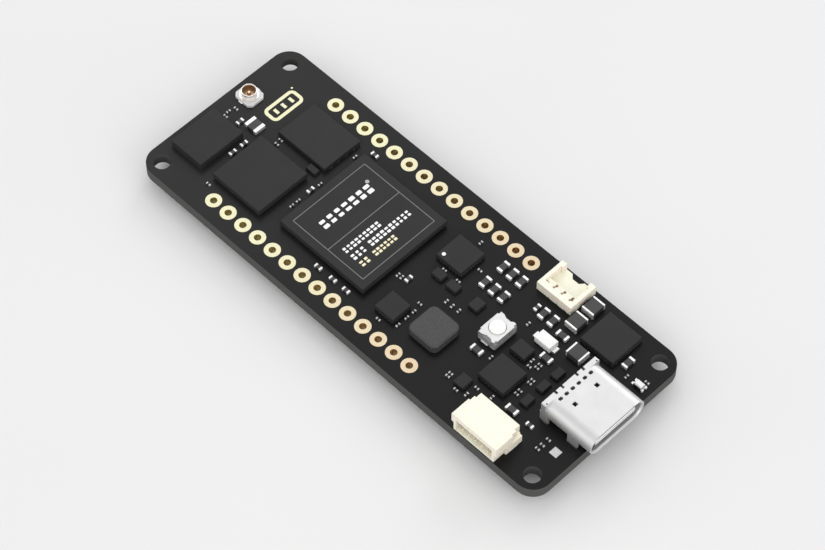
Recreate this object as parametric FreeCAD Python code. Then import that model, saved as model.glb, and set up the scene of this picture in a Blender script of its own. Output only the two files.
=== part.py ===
import FreeCAD, Part
import os

# Microcontroller dev board: a small black board with a processor, memory, a radio module, a USB-C
# socket, a five-way side socket, a battery socket, an antenna socket and a sprung reset button.
#
# Everything is built with x = 0 at the middle of the pin grid, y = 0 on the board's centre line and
# z = 0 on the board's top face, +X towards the USB-C socket. save() then shifts each piece into the
# part's own frame: origin at the centre of the mounting-hole pattern on the board's underside.
# All sizes are in millimetres.

V = FreeCAD.Vector

# ---------------------------------------------------------------------------- driving sizes

BOARD_LENGTH = 66.04
BOARD_WIDTH = 25.40
BOARD_THICKNESS = 1.60
BOARD_CORNER = 2.50
BOARD_CENTRE_X = 5.74            # from the middle of the pin grid to the middle of the board

HOLE_SPACING_X = 61.70
HOLE_SPACING_Y = 21.30
HOLE_RADIUS = 1.10

PIN_PITCH = 2.54
PINS_PER_ROW = 14
ROW_SPACING = 20.32
PIN_HOLE_RADIUS = 0.45
PLATING = 0.035
PAD_RADIUS = 1.025

BEVEL = 0.05                     # small edge bevel on moulded caps
BALL_GAP = 0.25                  # height of the solder balls
LAMINATE = 0.30                  # thickness of a package's own small laminate

UNDER_FACE = -BOARD_THICKNESS
FRAME_SHIFT = V(-BOARD_CENTRE_X, 0, BOARD_THICKNESS)


# ---------------------------------------------------------------------------- helpers

def span(x0, x1, y0, y1, z0, z1):
    """A block between two corners."""
    return Part.makeBox(x1 - x0, y1 - y0, z1 - z0, V(x0, y0, z0))


def block(cx, cy, lx, ly, z0, z1):
    """A block centred on (cx, cy)."""
    return span(cx - lx / 2, cx + lx / 2, cy - ly / 2, cy + ly / 2, z0, z1)


def rod(cx, cy, radius, z0, z1):
    """An upright cylinder."""
    return Part.makeCylinder(radius, z1 - z0, V(cx, cy, z0))


def tube(cx, cy, outer, inner, z0, z1):
    """An upright tube."""
    return rod(cx, cy, outer, z0, z1).cut(rod(cx, cy, inner, z0, z1))


def upright_edges(shape):
    """The straight edges of a shape that run along Z."""
    found = []
    for edge in shape.Edges:
        a, b = edge.Vertexes[0].Point, edge.Vertexes[-1].Point
        if abs(a.x - b.x) < 1e-6 and abs(a.y - b.y) < 1e-6:
            found.append(edge)
    return found


def top_edges(shape):
    """The edges that lie on a shape's highest plane."""
    top = shape.BoundBox.ZMax
    return [e for e in shape.Edges if e.BoundBox.ZMin > top - 1e-4]


def rounded_block(cx, cy, lx, ly, z0, z1, radius):
    """A block with rounded upright edges."""
    shape = block(cx, cy, lx, ly, z0, z1)
    return shape.makeFillet(radius, upright_edges(shape))


def bevel_top(shape, size=BEVEL):
    """The same shape with a bevel round its top face."""
    return shape.makeChamfer(size, top_edges(shape))


def fused(shapes):
    """One solid made of several touching or overlapping ones."""
    return shapes[0].multiFuse(shapes[1:]).removeSplitter()


def without(shape, tools):
    """The shape with every tool cut out of it."""
    return shape.cut(Part.makeCompound(tools))


def moved(shape, x, y, z=0.0, turn=0.0):
    """A copy of a shape turned about Z and then moved."""
    copy = shape.copy()
    copy.rotate(V(0, 0, 0), V(0, 0, 1), turn)
    copy.translate(V(x, y, z))
    return copy


def flipped(shape):
    """A copy of a shape that stands on the top face, hung from the underside instead."""
    copy = shape.copy()
    copy.rotate(V(0, 0, UNDER_FACE / 2), V(1, 0, 0), 180)
    return copy


def spread(count, pitch):
    """Positions of count items a pitch apart, centred on 0."""
    return [(i - (count - 1) / 2) * pitch for i in range(count)]


def save(name, shapes):
    """Write one node; several separate solids share it when they are identical items."""
    whole = Part.makeCompound(shapes) if len(shapes) > 1 else shapes[0].copy()
    whole.translate(FRAME_SHIFT)
    whole.exportStep("parts/" + name + ".step")


# ---------------------------------------------------------------------------- USB-C socket sizes

USB_CENTRE_Y = -0.12
USB_FRONT_X = 39.72
USB_LENGTH = 7.80
USB_WIDTH = 8.94
USB_HEIGHT = 3.16
USB_WALL = 0.28
USB_FLOOR_Z = 0.04
USB_REAR_X = USB_FRONT_X - USB_LENGTH
USB_MID_Z = USB_FLOOR_Z + USB_HEIGHT / 2
USB_TOP_Z = USB_FLOOR_Z + USB_HEIGHT
USB_LEGS_X = [(USB_REAR_X, USB_REAR_X + 1.28), (36.18, 37.74)]
USB_LEG_BOTTOM = -1.20
USB_LEG_Y = USB_WIDTH / 2 - USB_WALL / 2
LEG_SLOT_ROOM = 0.15


def usb_leg_places():
    """(x0, x1, y) of each of the shell's four legs."""
    places = []
    for x0, x1 in USB_LEGS_X:
        for side in (-1, 1):
            places.append((x0, x1, USB_CENTRE_Y + side * USB_LEG_Y))
    return places


# ---------------------------------------------------------------------------- board and plating

def mounting_places():
    xs = (BOARD_CENTRE_X - HOLE_SPACING_X / 2, BOARD_CENTRE_X + HOLE_SPACING_X / 2)
    ys = (-HOLE_SPACING_Y / 2, HOLE_SPACING_Y / 2)
    return [(x, y) for x in xs for y in ys]


def pin_places():
    ys = (-ROW_SPACING / 2, ROW_SPACING / 2)
    return [(x, y) for y in ys for x in spread(PINS_PER_ROW, PIN_PITCH)]


def circuit_board():
    """The laminate with its mounting holes, pin holes and slots for the USB socket's legs."""
    plate = rounded_block(BOARD_CENTRE_X, 0, BOARD_LENGTH, BOARD_WIDTH, UNDER_FACE, 0, BOARD_CORNER)
    tools = [rod(x, y, HOLE_RADIUS, UNDER_FACE, 0) for x, y in mounting_places()]
    tools += [rod(x, y, PIN_HOLE_RADIUS + PLATING, UNDER_FACE, 0) for x, y in pin_places()]
    for x0, x1, y in usb_leg_places():
        length = x1 - x0 + 2 * LEG_SLOT_ROOM
        width = USB_WALL + 2 * LEG_SLOT_ROOM
        tools.append(rounded_block((x0 + x1) / 2, y, length, width, UNDER_FACE, 0, width / 2 - 0.01))
    return without(plate, tools)


def plated_hole(x, y):
    """A ring on each face joined by the plated wall of the hole."""
    top = rod(x, y, PAD_RADIUS, 0, PLATING)
    bottom = rod(x, y, PAD_RADIUS, UNDER_FACE - PLATING, UNDER_FACE)
    barrel = rod(x, y, PIN_HOLE_RADIUS + PLATING, UNDER_FACE, 0)
    hole = rod(x, y, PIN_HOLE_RADIUS, UNDER_FACE - PLATING, PLATING)
    return fused([top, barrel, bottom]).cut(hole)


BADGE_X, BADGE_Y = -20.90, 5.60
BADGE_WIDTH, BADGE_LENGTH = 2.45, 5.10
BADGE_STROKE = 0.46


def gold_badge():
    """A plain upright frame with three bars, gold plated."""
    outer = rounded_block(BADGE_X, BADGE_Y, BADGE_WIDTH, BADGE_LENGTH, 0, PLATING, 0.8)
    inside = BADGE_WIDTH - 2 * BADGE_STROKE
    inner = rounded_block(BADGE_X, BADGE_Y, inside, BADGE_LENGTH - 2 * BADGE_STROKE, 0, PLATING, 0.3)
    pieces = [outer.cut(inner)]
    for offset in spread(3, 1.25):
        pieces.append(block(BADGE_X, BADGE_Y + offset, 0.85, 0.42, 0, PLATING))
    return pieces


def test_pads():
    """Bare plated dots: one on top, and two rows on the underside."""
    dots = [rod(-22.19, 8.19, 0.14, 0, PLATING)]
    for x in spread(6, 1.8):
        for y in (-6.4, 6.4):
            dots.append(flipped(rod(x - 0.9, y, 0.5, 0, PLATING)))
    return dots


# ---------------------------------------------------------------------------- large packages

def ball():
    """A solder ball pressed flat against the board and the package."""
    radius = 0.24
    sphere = Part.makeSphere(radius, V(0, 0, BALL_GAP / 2))
    return sphere.common(block(0, 0, 1, 1, 0, BALL_GAP))


def package(cx, cy, lx, ly, z0, height, laminate=LAMINATE):
    """(base, cap) of a laminate package whose top is at the given height."""
    base = block(cx, cy, lx, ly, z0, z0 + laminate)
    cap = bevel_top(block(cx, cy, lx, ly, z0 + laminate, height))
    return base, cap


PROCESSOR = dict(cx=-1.24, cy=-0.09, lx=14.0, ly=14.0, z0=BALL_GAP, height=1.10)
MEMORY = dict(cx=-14.93, cy=-3.98, lx=8.0, ly=8.0, z0=BALL_GAP, height=1.10)
WIRELESS = dict(cx=-23.43, cy=-4.70, lx=5.15, ly=6.95, z0=0.0, height=1.10)
BALL_PITCH = 0.80


def chip_balls():
    """The processor's three outer rings and middle block, and the memory's two banks."""
    one = ball()
    made = []
    last = 15
    for i, x in enumerate(spread(last + 1, BALL_PITCH)):
        for j, y in enumerate(spread(last + 1, BALL_PITCH)):
            ring = min(i, j, last - i, last - j)
            if ring < 3 or ring > 5:
                made.append(moved(one, PROCESSOR["cx"] + x, PROCESSOR["cy"] + y))
    for i, x in enumerate(spread(9, BALL_PITCH)):
        for y in spread(9, BALL_PITCH):
            if i not in (3, 4, 5):
                made.append(moved(one, MEMORY["cx"] + x, MEMORY["cy"] + y))
    return made


def leads_along(cx, cy, lx, ly, count, pitch, along_x, size):
    """Lead pads along two opposite sides of a package, just proud of its walls."""
    width, length, height, proud = size
    pads = []
    for step in spread(count, pitch):
        for side in (-1, 1):
            if along_x:
                y = cy + side * (ly / 2 + proud - length / 2)
                pads.append(block(cx + step, y, width, length, 0, height))
            else:
                x = cx + side * (lx / 2 + proud - length / 2)
                pads.append(block(x, cy + step, length, width, 0, height))
    return pads


def leadless(cx, cy, lx, ly, height, leads):
    """A leadless package's moulded body, cut round its leads."""
    return without(bevel_top(block(cx, cy, lx, ly, 0, height)), leads)


FLASH = dict(cx=-14.08, cy=5.04, lx=8.0, ly=6.0)
FLASH_HEIGHT = 0.80
FLASH_LEAD = (0.40, 0.50, 0.08, 0.02)


def flash():
    """(body, leads): four leads on each short side."""
    leads = leads_along(count=4, pitch=1.27, along_x=False, size=FLASH_LEAD, **FLASH)
    return leadless(height=FLASH_HEIGHT, leads=leads, **FLASH), leads


QUAD_LEAD = (0.22, 0.40, 0.05, 0.01)
# cx, cy, side, leads per side, height
QUADS = [
    (10.08, 4.79, 4.05, 6, 0.85),
    (9.63, -6.00, 3.00, 4, 0.85),
    (25.16, -3.68, 4.00, 6, 0.85),
    (30.64, 8.73, 5.05, 8, 0.90),
]


def quads():
    """(bodies, leads) of the square leadless chips, with leads on all four sides."""
    bodies, leads = [], []
    for cx, cy, side, count, height in QUADS:
        own = leads_along(cx, cy, side, side, count, 0.5, True, QUAD_LEAD)
        own += leads_along(cx, cy, side, side, count, 0.5, False, QUAD_LEAD)
        bodies.append(leadless(cx, cy, side, side, height, own))
        leads += own
    return bodies, leads


SMALL_LEAD = (0.20, 0.30, 0.05, 0.01)
# cx, cy, size along x, size along y, height, leads per side, leads along x
SMALL_CHIPS = [
    (-11.28, 1.25, 1.50, 0.90, 0.50, 3, True),
    (10.17, 1.20, 1.60, 1.18, 0.55, 3, True),
    (12.53, 1.18, 1.60, 1.18, 0.55, 3, True),
    (16.27, 1.25, 1.45, 1.62, 0.55, 3, False),
    (24.37, 0.43, 2.30, 1.90, 0.70, 4, True),
    (22.49, -7.41, 1.50, 1.70, 0.55, 3, False),
    (29.50, 1.02, 1.10, 1.55, 0.50, 3, False),
    (29.50, -1.39, 1.10, 1.55, 0.50, 3, False),
    (29.50, -4.09, 1.10, 1.55, 0.50, 3, False),
]
# the same for the underside
UNDER_CHIPS = [
    (-21.50, 0.00, 3.00, 3.00, 0.75, 5, True),
    (23.50, 3.20, 2.00, 2.00, 0.60, 4, True),
    (23.50, -3.20, 2.00, 2.00, 0.60, 4, True),
]


def small_chips():
    """(bodies, leads) of the small leadless chips on both faces."""
    bodies, leads = [], []
    for chips, turn_over in ((SMALL_CHIPS, False), (UNDER_CHIPS, True)):
        for cx, cy, lx, ly, height, count, along_x in chips:
            own = leads_along(cx, cy, lx, ly, count, 0.45, along_x, SMALL_LEAD)
            body = leadless(cx, cy, lx, ly, height, own)
            if turn_over:
                own = [flipped(lead) for lead in own]
                body = flipped(body)
            bodies.append(body)
            leads += own
    return bodies, leads


# ---------------------------------------------------------------------------- two-terminal parts

def two_terminal(length, width, height, end, step=0.02, edge=0.03):
    """(body, [end, end]) lying along X: a body between two slightly larger terminals."""
    body = block(0, 0, length - 2 * end, width - 2 * step, 0, height - step)
    ends = []
    for side in (-1, 1):
        cap = block(side * (length - end) / 2, 0, end, width, 0, height)
        ends.append(cap.makeChamfer(edge, upright_edges(cap) + top_edges(cap)))
    return body, ends


def placed_parts(pattern, places):
    """(bodies, ends) of one kind of part at (x, y, turn) places."""
    body, ends = pattern
    bodies = [moved(body, x, y, 0, turn) for x, y, turn in places]
    caps = [moved(end, x, y, 0, turn) for x, y, turn in places for end in ends]
    return bodies, caps


def both_faces(pattern, top_places, under_places):
    """The same for the two faces of the board."""
    bodies, caps = placed_parts(pattern, top_places)
    under_bodies, under_caps = placed_parts(pattern, under_places)
    bodies += [flipped(body) for body in under_bodies]
    caps += [flipped(cap) for cap in under_caps]
    return bodies, caps


def along(places):
    return [(x, y, 0) for x, y in places]


def across(places):
    return [(x, y, 90) for x, y in places]


TINY = dict(length=0.62, width=0.30, height=0.24, end=0.18)
TINY_ALONG = [
    # beside the antenna socket, the radio module and the flash chip
    (-24.65, -0.60), (-24.60, 1.10), (-18.65, -9.00), (-17.30, 1.65), (-17.20, 0.90),
    # round the middle chips
    (9.50, -8.25), (10.05, 2.15), (11.40, -3.30), (12.30, 2.15), (13.05, 5.05),
    # between the reset button and the USB socket
    (20.70, -8.10), (20.70, -7.60), (22.65, -8.75), (24.20, -6.90), (26.40, -0.55),
    (27.15, 0.50), (27.15, -0.05), (27.95, -4.25), (27.95, -3.65), (28.00, -1.60), (28.00, -2.15),
    # beside the USB socket
    (34.70, -7.85), (34.75, -6.10), (34.75, -7.10), (37.45, 7.45),
]
TINY_ACROSS = [
    (-24.95, 0.15),
    # between the memory and the processor
    (-9.30, -4.15), (-9.30, -3.10), (-9.20, 0.45), (-9.15, 6.25),
    # round the middle chips
    (6.70, -2.20), (7.25, -2.15), (10.35, 7.95), (11.70, -4.55), (11.70, -5.75), (11.70, -7.20),
    (13.35, -0.85), (14.30, -0.85), (15.30, -0.80),
    # between the reset button and the USB socket
    (22.25, 3.65), (22.45, -2.75), (23.95, -8.35), (26.10, 0.30), (26.30, -6.55), (35.25, 6.40),
]
TINY_UNDER = [(x, y, 90) for x in spread(7, 1.0) for y in (-2.4, -0.8, 0.8, 2.4)]

SMALL = dict(length=1.02, width=0.52, height=0.36, end=0.27)
SMALL_ALONG = [(-7.65, 8.10), (-0.65, -8.10), (1.80, -8.10), (4.00, -8.10), (31.95, -6.25)]
SMALL_ACROSS = [(-22.80, 0.05), (-20.00, -1.90), (-20.00, -3.75), (-9.35, -1.00), (8.00, -1.75), (21.45, 6.00)]
SMALL_UNDER = [(x, y, 0) for x in (-5.6, 5.6) for y in spread(5, 1.2)]

MEDIUM = dict(length=1.60, width=0.82, height=0.46, end=0.32)
MEDIUM_ALONG = [(20.60, -3.20), (26.25, 5.20), (27.05, 1.65), (29.10, -6.20)]
MEDIUM_ACROSS = [(16.20 + x, y) for x in spread(3, 1.5) for y in (4.25, 7.30)]
MEDIUM_ACROSS += [(22.60, 5.90), (24.10, 5.90), (34.15, 7.85)]
MEDIUM_UNDER = [(18.0, y, 0) for y in spread(4, 1.5)]

CHIP_COIL = dict(length=2.15, width=1.80, height=0.88, end=0.24)
CHIP_COILS = [(26.17, 10.50, 90), (26.17, 7.62, 90), (29.25, 4.55, 0)]

FILTER = dict(length=2.02, width=1.64, height=0.55, end=0.50)
FILTER_PLACE = [(-21.03, 0.90, 0)]


POWER_COIL_X, POWER_COIL_Y = 15.27, -4.85
POWER_COIL_SIDE = 4.58
POWER_COIL_HEIGHT = 1.20


def power_coil():
    """(body, ends): a rounded moulded block with two wide terminals let into its underside."""
    ends = []
    for side in (-1, 1):
        x = POWER_COIL_X + side * (POWER_COIL_SIDE / 2 - 0.60)
        ends.append(block(x, POWER_COIL_Y, 1.00, 3.2, 0, 0.10))
    body = rounded_block(
        POWER_COIL_X, POWER_COIL_Y, POWER_COIL_SIDE, POWER_COIL_SIDE, 0, POWER_COIL_HEIGHT, 0.85
    )
    body = bevel_top(body, 0.18)
    return without(body, ends), ends


def diode():
    """(body, ends): a white block with a low terminal at each end."""
    cx, cy = 25.52, 3.22
    body = bevel_top(block(cx, cy, 2.42, 1.48, 0, 0.96))
    ends = [block(cx + side * 1.475, cy, 0.53, 0.86, 0, 0.36) for side in (-1, 1)]
    return body, [bevel_top(end) for end in ends]


LAMP_X, LAMP_Y = 37.09, 6.53
LAMP_LENGTH, LAMP_WIDTH = 1.72, 0.90
LAMP_BASE_TOP, LAMP_TOP = 0.50, 0.66
LAMP_END_TOP = 0.30
LAMP_END = 0.30


def flat_outline(cx, cy, lx, ly, z):
    """A closed rectangular wire lying at height z."""
    corners = [V(cx + sx * lx / 2, cy + sy * ly / 2, z) for sx, sy in ((-1, -1), (1, -1), (1, 1), (-1, 1))]
    return Part.makePolygon(corners + corners[:1])


def lamp():
    """(base, lens, ends) of the small indicator light, with a half-round notch in each end."""
    ends = []
    for side in (-1, 1):
        x = LAMP_X + side * (LAMP_LENGTH - LAMP_END) / 2
        end = block(x, LAMP_Y, LAMP_END, LAMP_WIDTH, 0, LAMP_END_TOP)
        ends.append(end.cut(rod(LAMP_X + side * LAMP_LENGTH / 2, LAMP_Y, 0.17, 0, LAMP_END_TOP)))
    base = block(LAMP_X, LAMP_Y, LAMP_LENGTH - 2 * LAMP_END, LAMP_WIDTH, 0, LAMP_BASE_TOP)
    foot = flat_outline(LAMP_X, LAMP_Y, 1.12, 0.80, LAMP_BASE_TOP)
    crown = flat_outline(LAMP_X, LAMP_Y, 0.88, 0.58, LAMP_TOP)
    return base, Part.makeLoft([foot, crown], True, True), ends


# ---------------------------------------------------------------------------- antenna socket

ANTENNA_X, ANTENNA_Y = -24.93, 3.62
ANTENNA_RING = 0.97
ANTENNA_HEIGHT = 1.25
ANTENNA_BASE_TOP = 0.38
ANTENNA_WALL = 0.08
ANTENNA_LIP = 0.30


def antenna():
    """(base, ring, liner, pin, strip): the strip runs under the base and shows at both ends."""
    x, y = ANTENNA_X, ANTENNA_Y
    strip = block(x, y, 0.66, 3.06, 0, 0.16)
    base = block(x + 0.05, y, 3.00, 2.70, 0, ANTENNA_BASE_TOP)
    base = base.makeChamfer(0.45, upright_edges(base))
    bore = ANTENNA_RING - ANTENNA_WALL
    ring = fused([
        tube(x, y, ANTENNA_RING + 0.27, bore, ANTENNA_BASE_TOP, 0.50),
        tube(x, y, ANTENNA_RING, bore, 0.50, 0.72),
        tube(x, y, ANTENNA_RING - 0.06, bore, 0.72, ANTENNA_HEIGHT - ANTENNA_LIP),
        tube(x, y, ANTENNA_RING, bore, ANTENNA_HEIGHT - ANTENNA_LIP, ANTENNA_HEIGHT),
    ])
    liner = rod(x, y, bore, ANTENNA_BASE_TOP, 1.10)
    liner = liner.cut(rod(x, y, bore - 0.05, 0.48, 1.10))
    pin = rod(x, y, 0.23, 0.48, 0.95)
    pin = pin.makeFillet(0.16, top_edges(pin))
    return without(base, [strip]), ring, liner, pin, strip


# ---------------------------------------------------------------------------- reset button

BUTTON_X, BUTTON_Y = 20.60, 0.16
BUTTON_WIDTH, BUTTON_LENGTH = 2.80, 3.80
BUTTON_BASE_TOP = 0.95
BUTTON_COVER_TOP = 1.38
BUTTON_CAP_TOP = 1.66
PLUNGER_RADIUS = 1.02
PLUNGER_EDGE = 0.22
PLUNGER_GAP = 0.06
PLUNGER_COLLAR = 1.14
PLUNGER_BOTTOM = 0.60
DOME_RADIUS = 1.20
DOME_SHEET = 0.06


def button_cover():
    """A pressed plate with a hole for the plunger, notched corners and a shallow dip in each short edge."""
    plate = block(BUTTON_X, BUTTON_Y, BUTTON_WIDTH, BUTTON_LENGTH, BUTTON_BASE_TOP, BUTTON_COVER_TOP)
    tools = [rod(BUTTON_X, BUTTON_Y, PLUNGER_RADIUS + PLUNGER_GAP, BUTTON_BASE_TOP, BUTTON_COVER_TOP)]
    for sx in (-1, 1):
        for sy in (-1, 1):
            x = BUTTON_X + sx * BUTTON_WIDTH / 2
            y = BUTTON_Y + sy * BUTTON_LENGTH / 2
            tools.append(block(x, y, 0.36, 0.90, BUTTON_BASE_TOP, BUTTON_COVER_TOP))
    for side in (-1, 1):
        corners = [(-0.75, 1.92), (-0.15, 1.66), (0.50, 1.66), (0.85, 1.92)]
        outline = [V(BUTTON_X + dx, BUTTON_Y + side * dy, BUTTON_BASE_TOP) for dx, dy in corners + corners[:1]]
        dip = Part.Face(Part.makePolygon(outline)).extrude(V(0, 0, BUTTON_COVER_TOP - BUTTON_BASE_TOP))
        tools.append(dip)
    plate = without(plate, tools)
    edges = [e for e in top_edges(plate) if e.Length > 0.3 and len(e.Vertexes) == 2]
    plate = plate.makeChamfer(0.05, edges)
    return plate


def button_base():
    """The moulded body: a well that holds the dome, under the cover."""
    body = rounded_block(BUTTON_X, BUTTON_Y, BUTTON_WIDTH, BUTTON_LENGTH, 0, BUTTON_BASE_TOP, 0.2)
    return body.cut(rod(BUTTON_X, BUTTON_Y, DOME_RADIUS + 0.05, 0.22, BUTTON_BASE_TOP))


def button_plunger():
    """The round cap, with a collar that keeps it under the cover."""
    cap = rod(BUTTON_X, BUTTON_Y, PLUNGER_RADIUS, PLUNGER_BOTTOM, BUTTON_CAP_TOP)
    cap = cap.makeFillet(PLUNGER_EDGE, top_edges(cap))
    collar = rod(BUTTON_X, BUTTON_Y, PLUNGER_COLLAR, PLUNGER_BOTTOM, BUTTON_BASE_TOP - 0.05)
    return cap.fuse(collar).removeSplitter()


def button_dome():
    """A thin spherical cap whose rim stands on the floor of the well."""
    floor = 0.22
    rise = PLUNGER_BOTTOM - floor
    radius = (DOME_RADIUS ** 2 + rise ** 2) / (2 * rise)
    centre = V(BUTTON_X, BUTTON_Y, PLUNGER_BOTTOM - radius)
    shell = Part.makeSphere(radius, centre).cut(Part.makeSphere(radius - DOME_SHEET, centre))
    return shell.common(rod(BUTTON_X, BUTTON_Y, DOME_RADIUS, floor, PLUNGER_BOTTOM))


def button_terminals():
    """A soldered foot under each corner and a thin lip that sticks out at the front."""
    feet = []
    for sx in (-1, 1):
        for sy in (-1, 1):
            x = BUTTON_X + sx * 0.95
            y = BUTTON_Y + sy * (BUTTON_LENGTH / 2 - 0.15)
            feet.append(block(x, y, 0.55, 0.30, 0, 0.14))
    feet.append(block(BUTTON_X - 0.15, BUTTON_Y - BUTTON_LENGTH / 2, 1.05, 0.32, 0, 0.09))
    return feet


# ---------------------------------------------------------------------------- battery socket

BATTERY_X0, BATTERY_X1 = 19.42, 24.83
BATTERY_Y0, BATTERY_Y1 = 8.00, 12.35
BATTERY_HEIGHT = 1.45
BATTERY_FLOOR = 0.28
BATTERY_CX = (BATTERY_X0 + BATTERY_X1) / 2
BATTERY_PITCH = 1.27
BATTERY_PIN_SHIFT = 0.52          # the contacts sit nearer one side wall
BATTERY_WALL_X = 0.52             # beside the plug
BATTERY_POST_X = 0.80             # at the open end
BATTERY_POST_LENGTH = 0.75
BATTERY_WALL_Y = 1.00
BATTERY_LEDGE_TOP = 1.12          # a step inside the front wall holds the contacts
BATTERY_LEDGE = 0.62


def battery_pins():
    """Three upright blades in the slots of the front wall's step, each with a soldered foot."""
    pins = []
    for step in spread(3, BATTERY_PITCH):
        x = BATTERY_CX + BATTERY_PIN_SHIFT + step
        foot = span(x - 0.12, x + 0.12, BATTERY_Y0 - 0.02, BATTERY_Y0 + 1.3, 0, 0.14)
        blade = span(x - 0.12, x + 0.12, BATTERY_Y0 + 0.72, BATTERY_Y0 + 1.50, 0.14, BATTERY_LEDGE_TOP - 0.14)
        pins.append(fused([foot, blade]))
    return pins


def battery_housing():
    """An open-topped tray: the plug comes in from above and its wires leave over the board's edge."""
    tray = span(BATTERY_X0, BATTERY_X1, BATTERY_Y0, BATTERY_Y1, 0, BATTERY_HEIGHT)
    well_y0 = BATTERY_Y0 + BATTERY_WALL_Y
    post_y = BATTERY_Y1 - BATTERY_POST_LENGTH
    tools = []
    for wall, y0, y1, z0 in (
        (BATTERY_WALL_X, well_y0, post_y, BATTERY_LEDGE_TOP),
        (BATTERY_WALL_X, well_y0 + BATTERY_LEDGE, post_y, BATTERY_FLOOR),
        (BATTERY_POST_X, post_y, BATTERY_Y1, BATTERY_FLOOR),
    ):
        tools.append(span(BATTERY_X0 + wall, BATTERY_X1 - wall, y0, y1, z0, BATTERY_HEIGHT))
    left_groove = (BATTERY_X0 + BATTERY_WALL_X + 0.30, 0.60)
    right_groove = (BATTERY_X1 - BATTERY_WALL_X - 0.16, 0.28)
    for x, length in (left_groove, right_groove):
        tools.append(block(x, well_y0, length, 0.30, 0.50, BATTERY_HEIGHT))
    corners = [
        (BATTERY_CX - 1.00, BATTERY_Y1),
        (BATTERY_CX - 0.50, BATTERY_Y1 - 0.55),
        (BATTERY_CX + 0.50, BATTERY_Y1 - 0.55),
        (BATTERY_CX + 0.95, BATTERY_Y1),
    ]
    outline = [V(x, y, 0) for x, y in corners + corners[:1]]
    tools.append(Part.Face(Part.makePolygon(outline)).extrude(V(0, 0, BATTERY_FLOOR)))
    for step in spread(3, BATTERY_PITCH):
        x = BATTERY_CX + BATTERY_PIN_SHIFT + step
        tools.append(span(x - 0.15, x + 0.15, BATTERY_Y0 + 0.66, well_y0 + 0.54, 0.40, BATTERY_HEIGHT))
    tray = bevel_top(tray, 0.06)
    return without(tray, tools + battery_pins())


# ---------------------------------------------------------------------------- side socket

SIDE_CX = 29.20
SIDE_FRONT_Y = -12.60
SIDE_REAR_Y = -8.28
SIDE_HEIGHT = 2.95
SIDE_PITCH = 1.00
SIDE_MOUTH_HALF = 2.82
SIDE_MOUTH_Z = (0.30, 2.10)
SIDE_MOUTH_DEPTH = 3.20
SIDE_RIBS = 11                    # thin ribs along the mouth's floor


def side_slab(half, y0, y1, z0, z1):
    """A block centred on the side socket."""
    return span(SIDE_CX - half, SIDE_CX + half, y0, y1, z0, z1)


def side_pins():
    """Five contacts, each a blade in the mouth and a soldered tail behind."""
    pins = []
    for step in spread(5, SIDE_PITCH):
        x = SIDE_CX + step
        tail = span(x - 0.10, x + 0.10, SIDE_REAR_Y - 0.4, SIDE_REAR_Y + 0.45, 0, 0.12)
        riser = span(x - 0.10, x + 0.10, SIDE_REAR_Y - 0.4, SIDE_REAR_Y - 0.28, 0, 0.75)
        blade = span(x - 0.10, x + 0.10, SIDE_FRONT_Y + 0.30, SIDE_REAR_Y - 0.28, 0.50, 0.75)
        pins.append(fused([tail, riser, blade]))
    return pins


def side_housing():
    """A stepped block, wider at the front than at the rear, with one wide mouth."""
    front = SIDE_FRONT_Y
    body = fused([
        side_slab(3.03, front, SIDE_REAR_Y, 0, SIDE_HEIGHT),
        side_slab(3.28, front, -9.10, 1.45, SIDE_HEIGHT),
        side_slab(3.50, front, -9.85, 1.45, SIDE_HEIGHT),
        side_slab(3.15, front, SIDE_REAR_Y, 0, 1.45),
        side_slab(3.48, -10.90, SIDE_REAR_Y, 0, 1.17),
    ])
    mouth = side_slab(SIDE_MOUTH_HALF, front, front + SIDE_MOUTH_DEPTH, *SIDE_MOUTH_Z)
    floor_z = SIDE_MOUTH_Z[0]
    ribs = []
    for step in spread(SIDE_RIBS, SIDE_PITCH / 2):
        x = SIDE_CX + step
        ribs.append(span(x - 0.09, x + 0.09, front + 0.14, front + SIDE_MOUTH_DEPTH, floor_z, floor_z + 0.05))
    body = bevel_top(body, 0.06)
    return without(body, [without(mouth, ribs)] + side_pins() + side_tabs())


def side_tabs():
    """Soldered plates under the foot of each side."""
    tabs = []
    for side in (-1, 1):
        tabs.append(block(SIDE_CX + side * 3.33, -9.60, 0.36, 1.30, 0, 0.12))
    return tabs


# ---------------------------------------------------------------------------- USB-C socket

def oblong_outline(x, width, height):
    """A full-round oblong wire across the USB socket's axis."""
    radius = height / 2
    flat = width / 2 - radius
    y, z = USB_CENTRE_Y, USB_MID_Z
    corners = [
        V(x, y - flat, z + radius),
        V(x, y + flat, z + radius),
        V(x, y + flat, z - radius),
        V(x, y - flat, z - radius),
    ]
    return Part.Wire([
        Part.LineSegment(corners[0], corners[1]).toShape(),
        Part.Arc(corners[1], V(x, y + flat + radius, z), corners[2]).toShape(),
        Part.LineSegment(corners[2], corners[3]).toShape(),
        Part.Arc(corners[3], V(x, y - flat - radius, z), corners[0]).toShape(),
    ])


def oblong_bar(x0, x1, width, height):
    """A bar along X with full-round sides, on the USB socket's axis."""
    return Part.Face(oblong_outline(x0, width, height)).extrude(V(x1 - x0, 0, 0))


USB_INNER_WIDTH = USB_WIDTH - 2 * USB_WALL
USB_INNER_HEIGHT = USB_HEIGHT - 2 * USB_WALL
USB_BLOCK_LENGTH = 2.20
USB_ROOT = 0.80                  # how far the tongue's moulding reaches into the rear block
USB_TONGUE_TIP = USB_FRONT_X - 0.33
USB_TONGUE_WIDTH = 6.50
USB_TONGUE_THICKNESS = 0.78
USB_PIN_PITCH = 0.50
USB_PINS = 12


ROOF_SETBACK = 0.11              # the roof starts this far in front of the rear legs
SHOULDER_LENGTH = 0.68           # the rear end of the roof is squarer for this length
SHOULDER_RADIUS = 0.14
VENT_X = USB_REAR_X + 1.26
SPRING_SLOT_X = USB_REAR_X + 2.90
LEAD_IN_LENGTH = 0.24             # the mouth's inner edge opens out over this length
LEAD_IN_STEP = 0.12


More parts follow.
